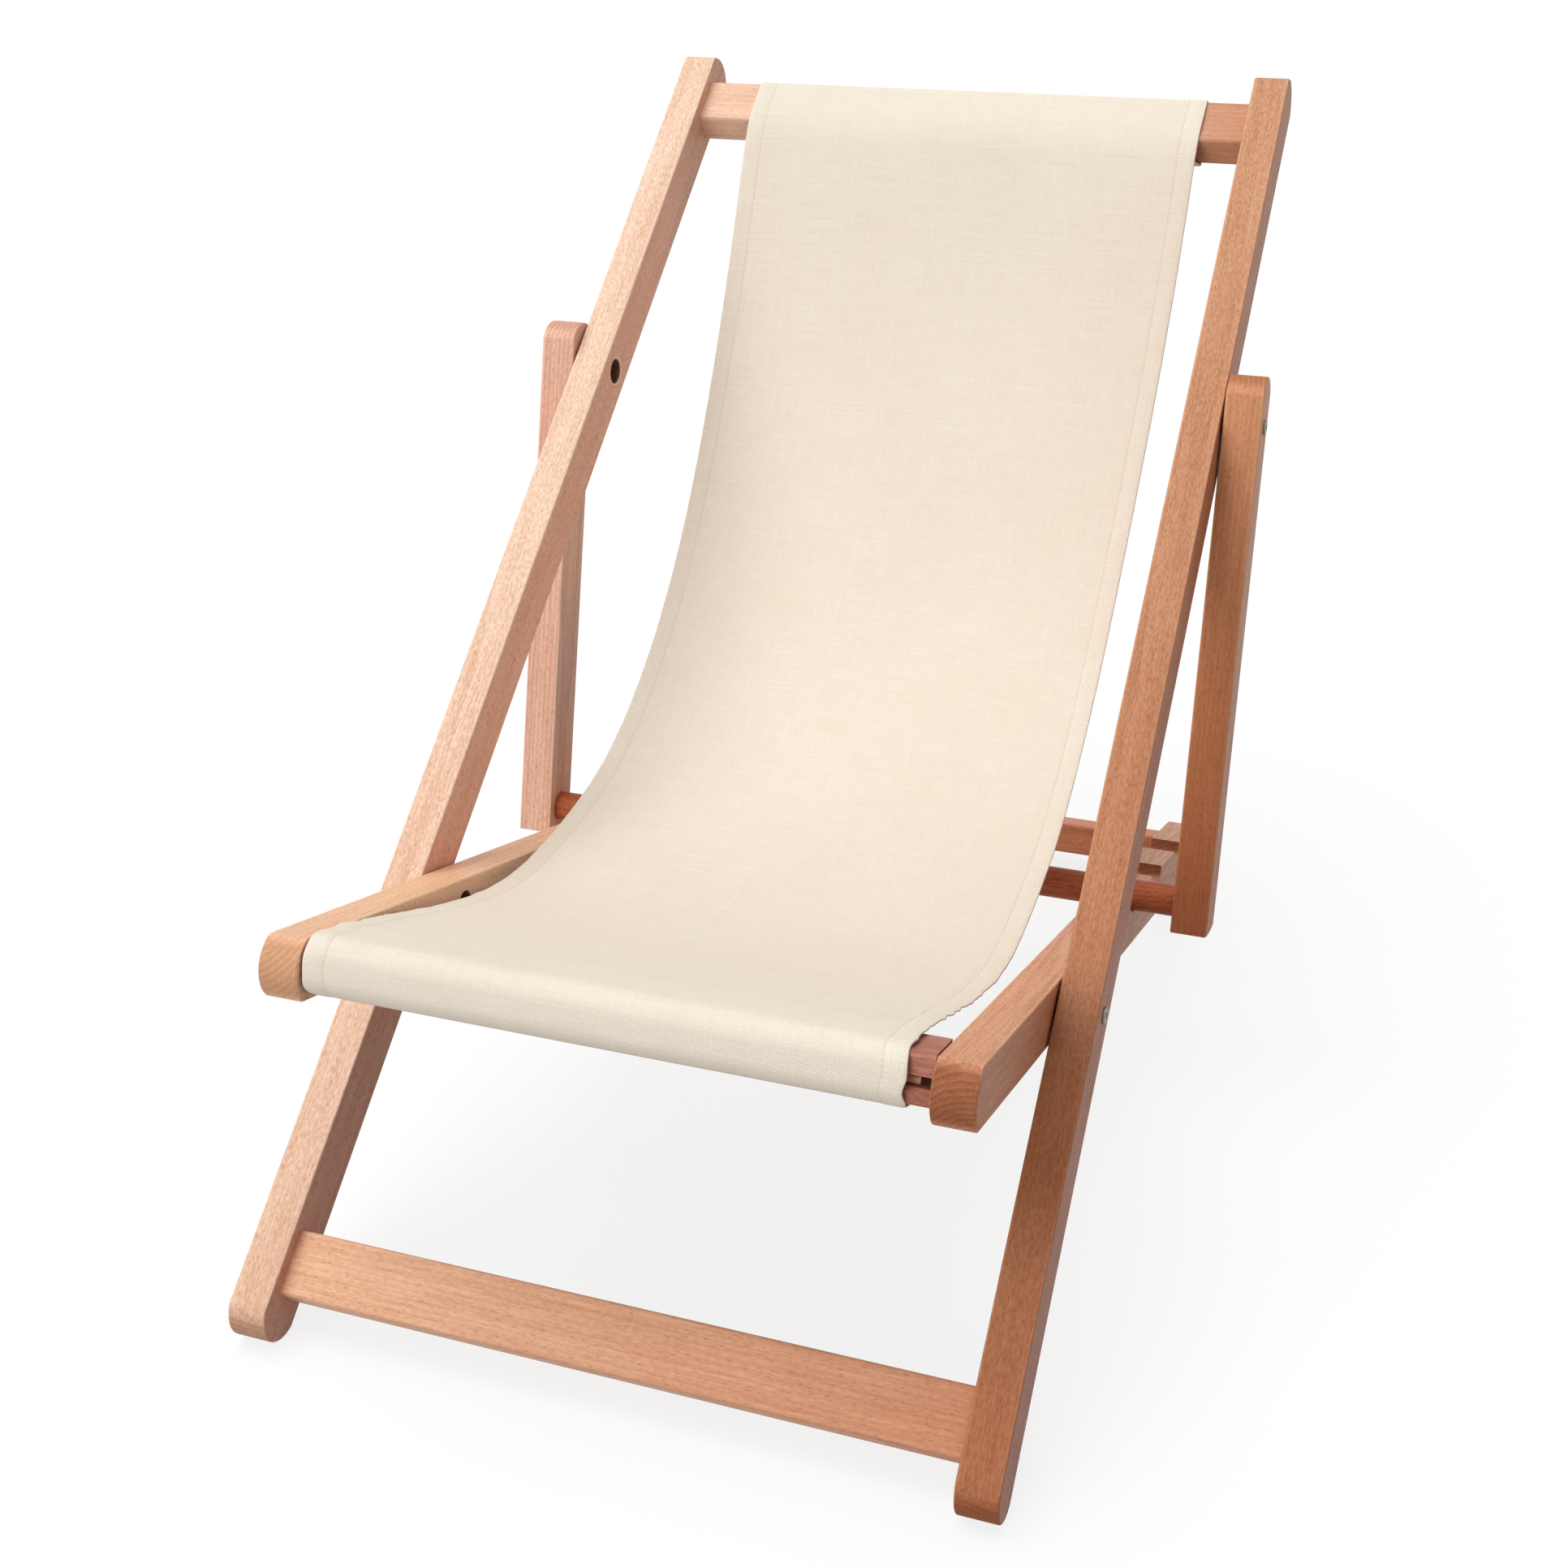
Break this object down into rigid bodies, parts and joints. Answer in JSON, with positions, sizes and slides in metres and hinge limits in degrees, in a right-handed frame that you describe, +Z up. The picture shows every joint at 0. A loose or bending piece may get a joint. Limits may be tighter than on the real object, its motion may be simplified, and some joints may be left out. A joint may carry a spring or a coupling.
{
  "type": "deck chair",
  "caption": "Folding wooden deck chair with a canvas sling between a leaning back frame and a crossing seat frame, held open by a prop frame whose dowel sits in notches.",
  "frame": {"origin": "centre of the footprint on the floor, in the open position with the dowel in the first notch", "axes": "+Z up, -Y towards the front edge of the seat, +X to the right as seen from the front"},
  "size_m": [0.652, 1.0032, 0.8013],
  "materials": {
    "beech": "satin oiled beech",
    "dowel_beech": "satin turned beech",
    "steel": "dull zinc",
    "canvas": "natural cotton canvas"
  },
  "bodies": {
    "back_frame": {"top_bar": "beech", "bottom_stretcher": "beech", "sling": "canvas", "back_rail_left": "beech", "back_rail_right": "beech", "seat_pivot_bolt_left": "steel", "seat_pivot_bolt_right": "steel", "seat_pivot_nut_left": "steel", "seat_pivot_nut_right": "steel", "seat_pivot_washer_left": "steel", "seat_pivot_washer_right": "steel", "prop_pivot_bolt_left": "steel", "prop_pivot_bolt_right": "steel", "prop_pivot_nut_left": "steel", "prop_pivot_nut_right": "steel", "prop_pivot_washer_left": "steel", "prop_pivot_washer_right": "steel"},
    "seat_frame": {"rear_bar": "beech", "front_slat_upper": "beech", "front_slat_lower": "beech", "front_hem_rod": "dowel_beech", "seat_rail_left": "beech", "seat_rail_right": "beech"},
    "prop_frame": {"prop_dowel": "dowel_beech", "prop_rail_left": "beech", "prop_rail_right": "beech", "dowel_brad_left": "steel", "dowel_brad_right": "steel"}
  },
  "joints": [
    {"name": "seat_fold", "type": "hinge", "parent": "back_frame", "child": "seat_frame", "pos_m": [0, -0.21365, 0.23203], "axis": [1, 0, 0], "range_deg": [-118, 0], "deforming": ["sling"]},
    {"name": "prop_swing", "type": "hinge", "parent": "back_frame", "child": "prop_frame", "pos_m": [0, 0.20167, 0.55885], "axis": [1, 0, 0], "range_deg": [0, 138]}
  ],
  "couplings": [
    {"joint": "prop_swing", "follows": "seat_fold", "ratio": -1.169}
  ]
}
